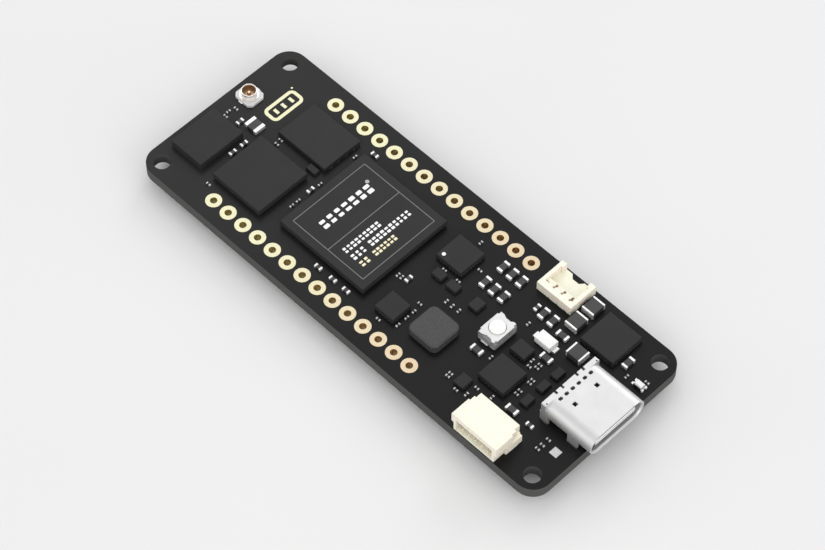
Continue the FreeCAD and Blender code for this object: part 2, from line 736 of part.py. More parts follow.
def shouldered_bar(x0, x1, inset):
    """The shell's upper half with square shoulders, a sheet's thickness smaller if inset says so."""
    half = USB_WIDTH / 2 - inset
    bar = span(x0, x1, USB_CENTRE_Y - half, USB_CENTRE_Y + half, USB_MID_Z, USB_TOP_Z - inset)
    long_edges = [e for e in top_edges(bar) if e.BoundBox.XLength > e.BoundBox.YLength]
    return bar.makeFillet(max(SHOULDER_RADIUS - inset, 0.05), long_edges)


def usb_shell():
    """The folded steel tube with four legs, square rear shoulders, and vents and slots in its roof."""
    roof_x = USB_REAR_X + ROOF_SETBACK
    shoulder_x = roof_x + SHOULDER_LENGTH
    outer = oblong_bar(roof_x, USB_FRONT_X, USB_WIDTH, USB_HEIGHT)
    inner = oblong_bar(USB_REAR_X, USB_FRONT_X, USB_INNER_WIDTH, USB_INNER_HEIGHT)
    legs = []
    for x0, x1, y in usb_leg_places():
        legs.append(span(x0, x1, y - USB_WALL / 2, y + USB_WALL / 2, USB_LEG_BOTTOM, USB_MID_Z))
    shoulders = shouldered_bar(roof_x, shoulder_x, 0)
    hollow = shouldered_bar(USB_REAR_X, shoulder_x - USB_WALL, USB_WALL)
    shell = without(fused([outer, shoulders] + legs), [inner, hollow])
    top = USB_TOP_Z
    under = top - USB_WALL
    tools = []
    for y in spread(6, 1.0):
        tools.append(rounded_block(VENT_X, USB_CENTRE_Y + y, 0.43, 0.58, under - 0.1, top, 0.18))
    for y in (-2.25, -1.19, 1.19, 2.25):
        tools.append(block(roof_x + 0.20, USB_CENTRE_Y + y, 0.44, 0.33, under - 0.1, top))
    for y in (-1.86, 1.76):
        tools.append(block(SPRING_SLOT_X, USB_CENTRE_Y + y, 0.54, 0.54, under - 0.1, top))
    for side in (-1, 1):
        tools.append(rod(roof_x + 0.53, USB_CENTRE_Y + side * 4.12, 0.11, under - 0.1, top))
    lead_in = [
        oblong_outline(USB_FRONT_X - LEAD_IN_LENGTH, USB_INNER_WIDTH, USB_INNER_HEIGHT),
        oblong_outline(USB_FRONT_X, USB_INNER_WIDTH + 2 * LEAD_IN_STEP, USB_INNER_HEIGHT + 2 * LEAD_IN_STEP),
    ]
    tools.append(Part.makeLoft(lead_in, True, True))
    return without(shell, tools)


def usb_midplate():
    """The thin steel plate inside the tongue, which shows along both sides and the tip."""
    x0 = USB_REAR_X + USB_BLOCK_LENGTH - USB_ROOT / 2
    thick = 0.12
    y, z = USB_CENTRE_Y, USB_MID_Z
    half = USB_TONGUE_WIDTH / 2 + 0.06
    return span(x0, USB_TONGUE_TIP + 0.06, y - half, y + half, z - thick / 2, z + thick / 2)


def usb_pins():
    """Twelve flat contacts on each face of the tongue, and a row of soldered tails behind."""
    pins = []
    rear_x = USB_REAR_X + ROOF_SETBACK
    z0 = USB_MID_Z - USB_TONGUE_THICKNESS / 2
    z1 = USB_MID_Z + USB_TONGUE_THICKNESS / 2
    for step in spread(USB_PINS, USB_PIN_PITCH):
        y = USB_CENTRE_Y + step
        x1 = USB_TONGUE_TIP - 0.25
        x0 = x1 - 3.6
        pins.append(span(x0, x1, y - 0.13, y + 0.13, z1 - 0.08, z1))
        pins.append(span(x0, x1, y - 0.13, y + 0.13, z0, z0 + 0.08))
        tail = span(rear_x - 0.45, rear_x, y - 0.1, y + 0.1, 0, 0.12)
        riser = span(rear_x - 0.14, rear_x, y - 0.1, y + 0.1, 0, 0.60)
        pins.append(fused([tail, riser]))
    return pins


def usb_tongue(midplate, pins):
    """The moulding that holds the contacts: the tongue, with a root inside the rear block."""
    y, z = USB_CENTRE_Y, USB_MID_Z
    tongue = span(
        USB_REAR_X + USB_BLOCK_LENGTH - USB_ROOT, USB_TONGUE_TIP,
        y - USB_TONGUE_WIDTH / 2, y + USB_TONGUE_WIDTH / 2,
        z - USB_TONGUE_THICKNESS / 2, z + USB_TONGUE_THICKNESS / 2,
    )
    return without(tongue, [midplate] + pins)


def usb_housing(tongue, midplate, pins):
    """The moulded block that closes the rear of the shell round the tongue's root."""
    roof_x = USB_REAR_X + ROOF_SETBACK
    rear = oblong_bar(roof_x, USB_REAR_X + USB_BLOCK_LENGTH, USB_INNER_WIDTH, USB_INNER_HEIGHT)
    return without(rear, [tongue, midplate] + pins)


# ---------------------------------------------------------------------------- underside sockets

STACK_X = (-13.50, 11.50)
STACK_LENGTH = 17.80
STACK_WIDTH = 2.94
STACK_HEIGHT = 1.50
STACK_PITCH = 0.40
STACK_PER_SIDE = 40
STACK_WELL = (16.50, 1.90)
STACK_BAR = (15.90, 0.62)
STACK_FLOOR = 0.30


def stack_pins(cx):
    """Forty contacts on each long side: a soldered foot outside and a blade in the well."""
    pins = []
    for y in spread(STACK_PER_SIDE, STACK_PITCH):
        for side in (-1, 1):
            inner = cx + side * (STACK_WELL[1] / 2 - 0.08)
            outer = cx + side * (STACK_WIDTH / 2 + 0.32)
            wall = cx + side * (STACK_WELL[1] / 2 + 0.06)
            foot = span(min(inner, outer), max(inner, outer), y - 0.08, y + 0.08, 0, 0.12)
            blade = span(min(inner, wall), max(inner, wall), y - 0.08, y + 0.08, 0, 1.15)
            pins.append(fused([foot, blade]))
    return pins


def stack_housing(cx, pins):
    """A long block with a ring-shaped well round a central bar."""
    body = rounded_block(cx, 0, STACK_WIDTH, STACK_LENGTH, 0, STACK_HEIGHT, 0.25)
    well = block(cx, 0, STACK_WELL[1], STACK_WELL[0], STACK_FLOOR, STACK_HEIGHT)
    bar = block(cx, 0, STACK_BAR[1], STACK_BAR[0], STACK_FLOOR, STACK_HEIGHT - 0.2)
    return without(bevel_top(body, 0.06), [well.cut(bar)] + pins)


# ---------------------------------------------------------------------------- write the nodes

def main():
    os.makedirs("parts", exist_ok=True)

    save("circuit_board", [circuit_board()])
    save("header_pads", [plated_hole(x, y) for x, y in pin_places()])
    save("gold_badge", gold_badge())
    save("test_pads", test_pads())

    for name, sizes in (("processor", PROCESSOR), ("memory", MEMORY), ("wireless", WIRELESS)):
        base, cap = package(**sizes)
        save(name + "_base", [base])
        save(name + "_cap", [cap])
    save("chip_balls", chip_balls())

    body, leads = flash()
    save("flash_body", [body])
    save("flash_leads", leads)
    bodies, leads = quads()
    save("quad_bodies", bodies)
    save("quad_leads", leads)
    bodies, leads = small_chips()
    save("small_chip_bodies", bodies)
    save("small_chip_leads", leads)

    sized_parts = (
        ("tiny", TINY, along(TINY_ALONG) + across(TINY_ACROSS), TINY_UNDER),
        ("small", SMALL, along(SMALL_ALONG) + across(SMALL_ACROSS), SMALL_UNDER),
        ("medium", MEDIUM, along(MEDIUM_ALONG) + across(MEDIUM_ACROSS), MEDIUM_UNDER),
        ("chip_coil", CHIP_COIL, CHIP_COILS, []),
        ("filter", FILTER, FILTER_PLACE, []),
    )
    for name, sizes, top_places, under_places in sized_parts:
        bodies, ends = both_faces(two_terminal(**sizes), top_places, under_places)
        save(name + "_bodies", bodies)
        save(name + "_ends", ends)

    body, ends = power_coil()
    save("power_coil_body", [body])
    save("power_coil_ends", ends)
    body, ends = diode()
    save("diode_body", [body])
    save("diode_ends", ends)
    base, lens, ends = lamp()
    save("lamp_base", [base])
    save("lamp_lens", [lens])
    save("lamp_ends", ends)

    base, ring, liner, pin, strip = antenna()
    save("antenna_base", [base])
    save("antenna_ring", [ring])
    save("antenna_liner", [liner])
    save("antenna_pin", [pin])
    save("antenna_strip", [strip])

    terminals = button_terminals()
    save("button_base", [without(button_base(), terminals)])
    save("button_cover", [button_cover()])
    save("button_plunger", [button_plunger()])
    save("button_dome", [button_dome()])
    save("button_terminals", terminals)

    save("battery_housing", [battery_housing()])
    save("battery_pins", battery_pins())

    save("side_housing", [side_housing()])
    save("side_pins", side_pins())
    save("side_tabs", side_tabs())

    midplate = usb_midplate()
    pins = usb_pins()
    save("usb_shell", [usb_shell()])
    tongue = usb_tongue(midplate, pins)
    save("usb_housing", [usb_housing(tongue, midplate, pins)])
    save("usb_tongue", [tongue])
    save("usb_midplate", [midplate])
    save("usb_pins", pins)

    housings, contacts = [], []
    for cx in STACK_X:
        pins = stack_pins(cx)
        housings.append(flipped(stack_housing(cx, pins)))
        contacts += [flipped(pin) for pin in pins]
    save("stack_housings", housings)
    save("stack_pins", contacts)


main()
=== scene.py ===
import math
import random

import bmesh
import bpy
from mathutils import Euler, Matrix, Vector


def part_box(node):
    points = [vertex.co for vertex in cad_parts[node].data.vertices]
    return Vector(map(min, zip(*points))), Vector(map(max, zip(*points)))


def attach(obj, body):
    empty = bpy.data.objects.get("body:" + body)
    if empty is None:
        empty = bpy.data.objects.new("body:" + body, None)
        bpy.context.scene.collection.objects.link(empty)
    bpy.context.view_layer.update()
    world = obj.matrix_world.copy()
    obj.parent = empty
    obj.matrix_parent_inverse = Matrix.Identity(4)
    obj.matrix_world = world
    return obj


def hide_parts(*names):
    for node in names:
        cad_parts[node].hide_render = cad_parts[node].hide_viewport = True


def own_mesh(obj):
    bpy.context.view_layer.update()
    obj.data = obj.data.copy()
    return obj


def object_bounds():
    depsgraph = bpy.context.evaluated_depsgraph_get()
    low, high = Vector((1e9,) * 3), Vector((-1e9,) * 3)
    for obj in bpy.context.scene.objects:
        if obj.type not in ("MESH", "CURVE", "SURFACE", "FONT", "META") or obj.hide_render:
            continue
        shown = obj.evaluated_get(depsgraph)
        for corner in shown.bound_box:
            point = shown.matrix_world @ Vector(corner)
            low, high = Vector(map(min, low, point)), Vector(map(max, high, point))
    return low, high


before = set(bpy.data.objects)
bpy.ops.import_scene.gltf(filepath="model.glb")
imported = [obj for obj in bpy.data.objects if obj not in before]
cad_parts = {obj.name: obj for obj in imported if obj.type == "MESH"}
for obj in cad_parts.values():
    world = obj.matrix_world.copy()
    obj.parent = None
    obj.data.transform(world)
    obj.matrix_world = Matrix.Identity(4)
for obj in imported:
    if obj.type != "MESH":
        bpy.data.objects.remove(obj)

CAD_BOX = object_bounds()
MM = 0.001
PER_METRE = 1000.0               # millimetres in a metre
BOARD_BODY = "board"
BOARD_TOP = 1.6 * MM
SMOOTH_ANGLE = 32                # degrees; sharper edges than this stay crisp

# ---------------------------------------------------------------------------- camera

# The camera looks down at the board from beyond one corner of its USB end.
CAMERA_PLACE = (0.145803, -0.146424, 0.300432)
CAMERA_TURN = (34.3815, -0.2304, 44.9866)   # degrees about X, then Y, then Z
SENSOR_WIDTH = 36.0              # millimetres, as is the lens
LENS = 134.57
NEAREST_SEEN = 0.01


def make_camera():
    data = bpy.data.cameras.new("camera")
    data.sensor_width = SENSOR_WIDTH
    data.lens = LENS
    data.clip_start = NEAREST_SEEN
    camera = bpy.data.objects.new("camera", data)
    turn = Euler([math.radians(angle) for angle in CAMERA_TURN])
    camera.matrix_world = Matrix.Translation(CAMERA_PLACE) @ turn.to_matrix().to_4x4()
    bpy.context.scene.collection.objects.link(camera)
    bpy.context.scene.camera = camera


# ---------------------------------------------------------------------------- materials

# Most of a noise's values lie between these, in soft clouds and in fine grain.
CLOUD_RANGE = (0.3, 0.7)
GRAIN_RANGE = (0.25, 0.75)
LEVEL_RANGE = (0.4, 0.8)         # height of the normal, from faces taken as upright to level ones
BEVEL_SAMPLES = 4
# The mix node's sockets for colours, by place, because their names repeat.
MIX_FACTOR = 0
MIX_FIRST = 6
MIX_SECOND = 7
MIX_RESULT = 2


class Recipe:
    """A material under construction: one principled shader and the nodes that feed it."""

    def __init__(self, name):
        self.material = bpy.data.materials.new(name)
        self.material.use_nodes = True
        self.tree = self.material.node_tree
        self.shader = self.tree.nodes["Principled BSDF"]
        self.place = self.add("ShaderNodeTexCoord").outputs["Object"]

    def add(self, kind, **inputs):
        """A new node, with its inputs set by name (spaces written as underscores) or linked."""
        node = self.tree.nodes.new(kind)
        for key, value in inputs.items():
            self.feed(node.inputs[key.replace("_", " ")], value)
        return node

    def feed(self, socket, value):
        if isinstance(value, bpy.types.NodeSocket):
            self.tree.links.new(value, socket)
        else:
            socket.default_value = value

    def set(self, **inputs):
        for key, value in inputs.items():
            self.feed(self.shader.inputs[key.replace("_", " ")], value)

    def noise(self, size_mm, detail=2.0, stretch=None):
        """Noise whose blobs are about size_mm across, from 0 to 1."""
        place = self.place
        if stretch:
            mapping = self.add("ShaderNodeMapping", Vector=place)
            mapping.inputs["Scale"].default_value = stretch
            place = mapping.outputs[0]
        node = self.add("ShaderNodeTexNoise", Vector=place, Scale=PER_METRE / size_mm, Detail=detail)
        return node.outputs["Fac"]

    def remap(self, value, low, high, start=0.0, end=1.0):
        """The value, taken from the range low to high on to the range start to end."""
        node = self.add("ShaderNodeMapRange", Value=value)
        node.inputs["From Min"].default_value = low
        node.inputs["From Max"].default_value = high
        node.inputs["To Min"].default_value = start
        node.inputs["To Max"].default_value = end
        return node.outputs["Result"]

    def maths(self, operation, a, b=0.0):
        node = self.tree.nodes.new("ShaderNodeMath")
        node.operation = operation
        self.feed(node.inputs[0], a)
        self.feed(node.inputs[1], b)
        return node.outputs[0]

    def mix(self, factor, first, second):
        """A colour between first and second."""
        node = self.tree.nodes.new("ShaderNodeMix")
        node.data_type = "RGBA"
        self.feed(node.inputs[MIX_FACTOR], factor)
        self.feed(node.inputs[MIX_FIRST], first)
        self.feed(node.inputs[MIX_SECOND], second)
        return node.outputs[MIX_RESULT]

    def along(self, axis):
        """The object coordinate along one axis, in millimetres."""
        node = self.add("ShaderNodeSeparateXYZ", Vector=self.place)
        return self.maths("MULTIPLY", node.outputs[axis], PER_METRE)

    def upness(self):
        """1 on faces that point up or down, 0 on upright ones."""
        normal = self.add("ShaderNodeTexCoord").outputs["Normal"]
        node = self.add("ShaderNodeSeparateXYZ", Vector=normal)
        return self.remap(self.maths("ABSOLUTE", node.outputs["Z"]), *LEVEL_RANGE)

    def relief(self, height, depth_mm, edge_mm):
        """Bump of the given depth, over edges that look rounded by edge_mm."""
        bump = self.add("ShaderNodeBump", Height=height, Distance=depth_mm * MM, Strength=1.0)
        if edge_mm:
            bevel = self.tree.nodes.new("ShaderNodeBevel")
            bevel.samples = BEVEL_SAMPLES
            bevel.inputs["Radius"].default_value = edge_mm * MM
            self.feed(bump.inputs["Normal"], bevel.outputs[0])
        self.set(Normal=bump.outputs[0])


def rgb(value, scale=1.0):
    """A colour from one grey value or three, scaled."""
    parts = value if isinstance(value, tuple) else (value, value, value)
    return tuple(min(part * scale, 1.0) for part in parts) + (1.0,)


def plain(name, colour, rough, metal=0.0, tone=0.10, patch=1.5, grain=0.08, depth=0.002,
          spread=0.06, edge=0.03, stretch=None, side=None, **sockets):
    """A material with cloudy tone, fine grain, uneven roughness and softened edges.

    The colour varies by the share tone over clouds of size patch, the roughness by spread over the grain.
    The grain stands up by depth, edges look rounded by edge, and all these lengths are in millimetres.
    Upright faces have the colour side, where it is given; this is painted light where the sides are lighter
    than the top, and painted shade where they are darker.
    """
    recipe = Recipe(name)
    cloud = recipe.noise(patch)
    fine = recipe.noise(grain, 3.0, stretch)
    shade = recipe.remap(cloud, *CLOUD_RANGE)
    tint = recipe.mix(shade, rgb(colour, 1.0 - tone), rgb(colour, 1.0 + tone))
    # Painted light and shade: upright faces take the side colour in place of the top colour.
    if side is not None:
        upright = recipe.mix(shade, rgb(side, 1.0 - tone), rgb(side, 1.0 + tone))
        tint = recipe.mix(recipe.upness(), upright, tint)
    recipe.set(
        Base_Color=tint,
        Roughness=recipe.remap(fine, *GRAIN_RANGE, rough - spread, rough + spread),
        Metallic=metal,
    )
    recipe.set(**sockets)
    recipe.relief(fine, depth, edge)
    return recipe.material


def ink(name, colour, rough, tone, patch):
    """Printed ink: fine-grained, with crisp edges."""
    return plain(name, colour, rough, tone=tone, patch=patch, grain=0.06, edge=0.0)


# Where along the board, in millimetres, the black mask's painted shade and the gold start and stop
# changing.
MASK_SHADE_CHANGE = (-30.0, 4.0)
GOLD_CHANGE = (-14.0, 9.0)
LAYER_WAVES = 31.4               # radians a millimetre, so the edge shows a layer every 0.2 mm
COPPER_CELL = 2.4                # millimetres between the patches of copper under the mask
COPPER_BORDER = (0.42, 0.47)     # where a patch ends, as shares of that
EDGE_ROUGH = 0.78
MASK_ROUGH = 0.34


def blend_of(recipe, first, first_share, second, second_share):
    """Two values added together in the given shares."""
    return recipe.maths(
        "ADD", recipe.maths("MULTIPLY", first, first_share), recipe.maths("MULTIPLY", second, second_share),
    )


def mask_colour(recipe):
    """Black solder mask with painted shade: it darkens unevenly towards the USB end, standing in for the
    light's fall-off across the board.
    """
    cloud = recipe.remap(recipe.noise(size_mm=9.0), *CLOUD_RANGE, -3.0, 3.0)
    # Painted shade: the mask's colour darkens along the board towards the USB end.
    painted_falloff_shade = recipe.remap(recipe.maths("ADD", recipe.along("X"), cloud), *MASK_SHADE_CHANGE)
    return recipe.mix(painted_falloff_shade, rgb((0.0190, 0.0190, 0.0192)), rgb((0.0065, 0.0065, 0.0068)))


def edge_colour(recipe):
    """Layers of glass-fibre weave, seen at the cut edge."""
    weave = recipe.noise(size_mm=0.35, detail=3.0, stretch=(1.0, 1.0, 14.0))
    wave = recipe.maths("SINE", recipe.maths("MULTIPLY", recipe.along("Z"), LAYER_WAVES))
    fibres = blend_of(recipe, recipe.remap(wave, -1.0, 1.0), 0.35, weave, 0.65)
    return recipe.mix(fibres, rgb((0.053, 0.052, 0.051)), rgb((0.090, 0.089, 0.086)))


def board_material():
    """Black solder mask over faint copper relief, and a layered glass-fibre edge."""
    recipe = Recipe("black_board")
    flat = recipe.upness()
    peel = recipe.noise(size_mm=0.45)
    copper = recipe.add("ShaderNodeTexVoronoi", Vector=recipe.place, Scale=PER_METRE / COPPER_CELL)
    copper.distance = "CHEBYCHEV"
    copper.feature = "F1"
    step = recipe.remap(copper.outputs["Distance"], *COPPER_BORDER)
    raised = blend_of(recipe, peel, 0.6, step, 0.4)
    recipe.set(
        Base_Color=recipe.mix(flat, edge_colour(recipe), mask_colour(recipe)),
        Roughness=recipe.mix(flat, rgb(EDGE_ROUGH), rgb(MASK_ROUGH)),
        Specular_IOR_Level=0.14,
    )
    recipe.relief(raised, depth_mm=0.006, edge_mm=0.06)
    return recipe.material


def gold_material(name, pale, warm, pale_lit_barrel, warm_lit_barrel):
    """Plating that turns warmer towards the USB end; inside the holes the barrel walls are painted brighter
    and warmer than the flat faces, painted light on walls that sit in shade.
    """
    recipe = Recipe(name)
    lengthwise = recipe.remap(recipe.along("X"), *GOLD_CHANGE)
    grain = recipe.noise(size_mm=0.12, detail=3.0)
    tint = recipe.mix(lengthwise, rgb(pale), rgb(warm))
    face = recipe.mix(recipe.remap(grain, *CLOUD_RANGE, 0.0, 0.12), tint, rgb(warm, 0.75))
    # Painted light: the upright barrel walls take a brighter, warmer gold than the flat faces.
    barrel = recipe.mix(lengthwise, rgb(pale_lit_barrel), rgb(warm_lit_barrel))
    recipe.set(
        Base_Color=recipe.mix(recipe.upness(), barrel, face),
        Roughness=recipe.remap(grain, *GRAIN_RANGE, 0.24, 0.40),
        Metallic=1.0,
    )
    recipe.relief(grain, depth_mm=0.004, edge_mm=0.02)
    return recipe.material


IVORY = (0.885, 0.850, 0.700)
# Painted shade: the ivory's upright faces are darker and warmer than its top.
IVORY_PAINTED_SIDE = (0.80, 0.745, 0.630)
TIN = (0.80, 0.80, 0.79)
STEEL = (0.63, 0.63, 0.632)
MOULDED = (0.0165, 0.0165, 0.0168)
# Painted light: the moulded chips' upright faces are lighter than their tops.
MOULDED_PAINTED_SIDE = (0.0264, 0.0264, 0.0269)

FINISHES = {
    "chip": plain(
        "moulded_chip", MOULDED, 0.52, tone=0.08, patch=3.0, grain=0.10, depth=0.004, edge=0.05,
        side=MOULDED_PAINTED_SIDE, Specular_IOR_Level=0.24,
    ),
    "flash": plain(
        "moulded_chip_flash", MOULDED, 0.50, tone=0.08, patch=3.0, grain=0.12, depth=0.004, edge=0.05,
        side=MOULDED_PAINTED_SIDE, Specular_IOR_Level=0.24,
    ),
    "laminate": plain("chip_laminate", (0.020, 0.021, 0.020), 0.55, grain=0.15, edge=0.02),
    "coil": plain(
        "pressed_coil", (0.042, 0.042, 0.042), 0.62, tone=0.16, patch=0.35, grain=0.14, depth=0.010,
        edge=0.08,
    ),
    "ceramic": plain("grey_ceramic", (0.034, 0.034, 0.0345), 0.55, tone=0.14, patch=0.3, edge=0.03),
    "ceramic_small": plain(
        "small_ceramic", (0.040, 0.037, 0.036), 0.5, tone=0.14, patch=0.3, edge=0.02,
    ),
    "tin": plain(
        "tin_ends", TIN, 0.42, 0.65, tone=0.05, patch=0.3, grain=0.06, depth=0.004,
        spread=0.10, edge=0.04,
    ),
    "tin_dull": plain(
        "dull_tin", (0.52, 0.52, 0.515), 0.45, 0.65, tone=0.10, patch=0.2, grain=0.05, depth=0.004,
        spread=0.10, edge=0.03,
    ),
    # Painted shade: the lead frame is a dark grey, so the leads sink into the shade at the chips' bases.
    "lead": plain("lead_frame_painted_shade", (0.16, 0.155, 0.15), 0.5, 0.6, tone=0.12, patch=0.3, edge=0.02),
    "solder": plain("solder_lip", TIN, 0.5, 0.2, tone=0.06, patch=0.3, edge=0.03),
    "pale_contact": plain(
        "pale_contact", (0.85, 0.76, 0.66), 0.42, 0.2, tone=0.05, patch=0.3, edge=0.02,
    ),
    "contact": plain(
        "spring_contact", (0.23, 0.155, 0.095), 0.42, 0.6, tone=0.10, patch=0.3, edge=0.02,
    ),
    "steel": plain(
        "satin_steel", STEEL, 0.46, 0.80, tone=0.03, patch=2.0, grain=0.05, depth=0.0012, edge=0.05,
        stretch=(0.15, 1.0, 1.0),
    ),
    "ivory": plain(
        "ivory_moulding", IVORY, 0.38, tone=0.03, patch=1.2, grain=0.10, depth=0.003, edge=0.06,
        side=IVORY_PAINTED_SIDE, Subsurface_Weight=0.15, Subsurface_Scale=0.0008,
    ),
    "white": plain(
        "white_moulding", (0.80, 0.80, 0.79), 0.36, tone=0.03, patch=0.8, grain=0.10, depth=0.003,
        edge=0.05,
    ),
    # Dark grey top and bottom, partly the plastic's own colour and partly painted shade; the upright faces,
    # the tip among them, are painted almost white as a painted highlight.
    "tongue": plain(
        "socket_tongue", (0.20, 0.20, 0.20), 0.36, tone=0.05, patch=0.5, edge=0.02,
        side=(0.88, 0.88, 0.88),
    ),
    "pale_base": plain(
        "pale_moulding", (0.60, 0.60, 0.60), 0.40, tone=0.06, patch=0.8, grain=0.10, depth=0.003,
        edge=0.05,
    ),
    "grey_base": plain("grey_moulding", (0.25, 0.25, 0.25), 0.5, tone=0.12, patch=0.6, edge=0.04),
    "cream": plain("cream_cap", (0.88, 0.875, 0.83), 0.40, tone=0.03, patch=0.8, edge=0.05),
    "socket": plain("black_moulding", (0.018, 0.018, 0.018), 0.42, tone=0.12, patch=0.8, edge=0.03),
    "copper": plain(
        "copper_liner", (0.38, 0.26, 0.165), 0.36, 1.0, tone=0.16, patch=0.3, grain=0.08, depth=0.003,
        edge=0.02,
    ),
    "peach": plain(
        "peach_plating", (0.86, 0.63, 0.43), 0.48, 1.0, tone=0.05, patch=0.3, grain=0.08, edge=0.03,
    ),
    "rose": plain(
        "rose_plating", (0.83, 0.80, 0.775), 0.30, 1.0, tone=0.05, patch=0.4, grain=0.08, depth=0.003,
        edge=0.03,
    ),
    "print": ink("white_print", (0.84, 0.84, 0.84), 0.6, tone=0.06, patch=0.4),
    "label": ink("label_square", (0.56, 0.56, 0.56), 0.5, tone=0.05, patch=0.4),
    "print_dim": ink("dim_print", (0.40, 0.40, 0.40), 0.6, tone=0.10, patch=0.3),
    "print_grey": ink("grey_print", (0.16, 0.16, 0.16), 0.6, tone=0.10, patch=0.4),
    "print_cream": ink("cream_print", (0.80, 0.74, 0.50), 0.6, tone=0.06, patch=0.4),
    "lens": plain(
        "clear_lens", (0.80, 0.80, 0.79), 0.30, tone=0.03, patch=0.4, edge=0.04, Coat_Weight=0.4,
    ),
    "board": board_material(),
    # The gold's barrel colours are painted light for the shaded hole walls.
    "gold": gold_material(
        "gold_plating", (0.570, 0.560, 0.385), (0.550, 0.450, 0.312),
        pale_lit_barrel=(0.95, 0.82, 0.36), warm_lit_barrel=(0.95, 0.62, 0.28),
    ),
}

NODE_FINISH = {
    "board": ["circuit_board"],
    "gold": ["header_pads", "gold_badge", "test_pads", "usb_pins", "stack_pins"],
    "rose": ["antenna_ring", "antenna_strip"],
    "copper": ["antenna_liner"],
    "peach": ["antenna_pin"],
    "chip": ["wireless_cap", "memory_cap", "processor_cap", "quad_bodies", "small_chip_bodies"],
    "flash": ["flash_body"],
    "laminate": ["wireless_base", "memory_base", "processor_base"],
    "coil": ["power_coil_body"],
    "ceramic": ["chip_coil_bodies", "tiny_bodies", "medium_bodies", "filter_bodies"],
    "ceramic_small": ["small_bodies"],
    "tin": [
        "chip_balls", "power_coil_ends", "chip_coil_ends", "small_ends", "medium_ends", "filter_ends",
        "diode_ends", "lamp_ends", "side_tabs",
    ],
    "tin_dull": ["tiny_ends"],
    "lead": ["flash_leads", "quad_leads", "small_chip_leads"],
    "solder": ["button_terminals"],
    "contact": ["battery_pins"],
    "pale_contact": ["side_pins"],
    "steel": ["button_cover", "button_dome", "usb_shell", "usb_midplate"],
    "ivory": ["battery_housing", "side_housing"],
    "pale_base": ["antenna_base"],
    "white": ["diode_body"],
    "tongue": ["usb_tongue"],
    "lens": ["lamp_lens"],
    "grey_base": ["button_base"],
    "cream": ["button_plunger"],
    "socket": ["stack_housings", "usb_housing", "lamp_base"],
}


def dress_nodes():
    """Every CAD node gets its finish and smooth shading across gentle angles."""
    for finish, names in NODE_FINISH.items():
        for name in names:
            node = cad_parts[name]
            for material_slot in node.material_slots:
                material_slot.material = FINISHES[finish]
            node.data.shade_smooth()
            node.data.set_sharp_from_angle(angle=math.radians(SMOOTH_ANGLE))
    dressed = {name for names in NODE_FINISH.values() for name in names}
    left = sorted(set(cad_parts) - dressed)
    if left:
        raise ValueError("nodes with no finish: %s" % left)


# ---------------------------------------------------------------------------- printed marks

CORNER_POINTS = 5
ALMOST_HALF = 2.01               # a side divided by this leaves a short straight stretch between corners


def add_slab(mesh, x0, x1, y0, y1, z, thick, corner=0.0):
    """Adds a thin slab to a bmesh, in metres, with rounded corners where corner isn't zero."""
    corner = min(corner, (x1 - x0) / ALMOST_HALF, (y1 - y0) / ALMOST_HALF)
    steps = CORNER_POINTS if corner > 0 else 1
    outline = []
    for cx, cy, start in (
        (x1 - corner, y1 - corner, 0.0), (x0 + corner, y1 - corner, 90.0),
        (x0 + corner, y0 + corner, 180.0), (x1 - corner, y0 + corner, 270.0),
    ):
        for step in range(steps):
            angle = math.radians(start + 90.0 * step / max(steps - 1, 1))
            outline.append((cx + corner * math.cos(angle), cy + corner * math.sin(angle)))
    low = [mesh.verts.new((x, y, z)) for x, y in outline]
    high = [mesh.verts.new((x, y, z + thick)) for x, y in outline]
    mesh.faces.new(high)
    mesh.faces.new(list(reversed(low)))
    count = len(outline)
    for i in range(count):
        j = (i + 1) % count
        mesh.faces.new((low[i], low[j], high[j], high[i]))


def make_piece(name, mesh, finish, body=BOARD_BODY):
    """Turns a bmesh into a piece of the object."""
    data = bpy.data.meshes.new(name)
    bmesh.ops.recalc_face_normals(mesh, faces=mesh.faces)
    mesh.to_mesh(data)
    mesh.free()
    data.materials.append(FINISHES[finish])
    piece = bpy.data.objects.new(name, data)
    bpy.context.scene.collection.objects.link(piece)
    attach(piece, body)
    return piece


PRINT_THICK = 0.012 * MM
FRAME_LINE = 0.10 * MM
# The outline printed on the processor, in millimetres from the middle of its cap.
FRAME_X = (-5.85, 5.95)
FRAME_Y = (-5.92, 5.93)
DIVIDER_X = 0.05
# The pitch, length and corner radius of a row's dashes, in millimetres.
TITLE_DASH = (1.22, 0.86, 0.12)
SMALL_DASH = (0.66, 0.46, 0.064)
# Each row's piece, finish, place across the processor, width, dashes and the spans that they fill.
DASH_ROWS = (
    ("processor_print_title", "print", -2.89, 1.40, TITLE_DASH, [(-4.24, 4.28)]),
    ("processor_print_rows", "print", 1.585, 0.87, SMALL_DASH, [(-4.83, 1.15)]),
    ("processor_print_middle", "print", 2.94, 0.90, SMALL_DASH, [(-4.83, -2.54), (-1.94, 4.83)]),
    ("processor_print_last", "print_cream", 4.31, 0.85, SMALL_DASH, [(-4.78, -3.24), (-2.54, 1.15)]),
)
# A row is two lines of dashes: how far they are off its middle and half their thickness, as shares
# of its width, and how far each dash's length and thickness vary.
LINE_OFFSET = 0.29
LINE_HALF = 0.21
LENGTH_RANGE = (0.82, 1.12)
THICKNESS_RANGE = (0.75, 1.0)
DASH_SEED = 7


def processor_middle():
    """The middle of the processor's top face."""
    low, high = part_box("processor_cap")
    return (low.x + high.x) / 2, (low.y + high.y) / 2, high.z


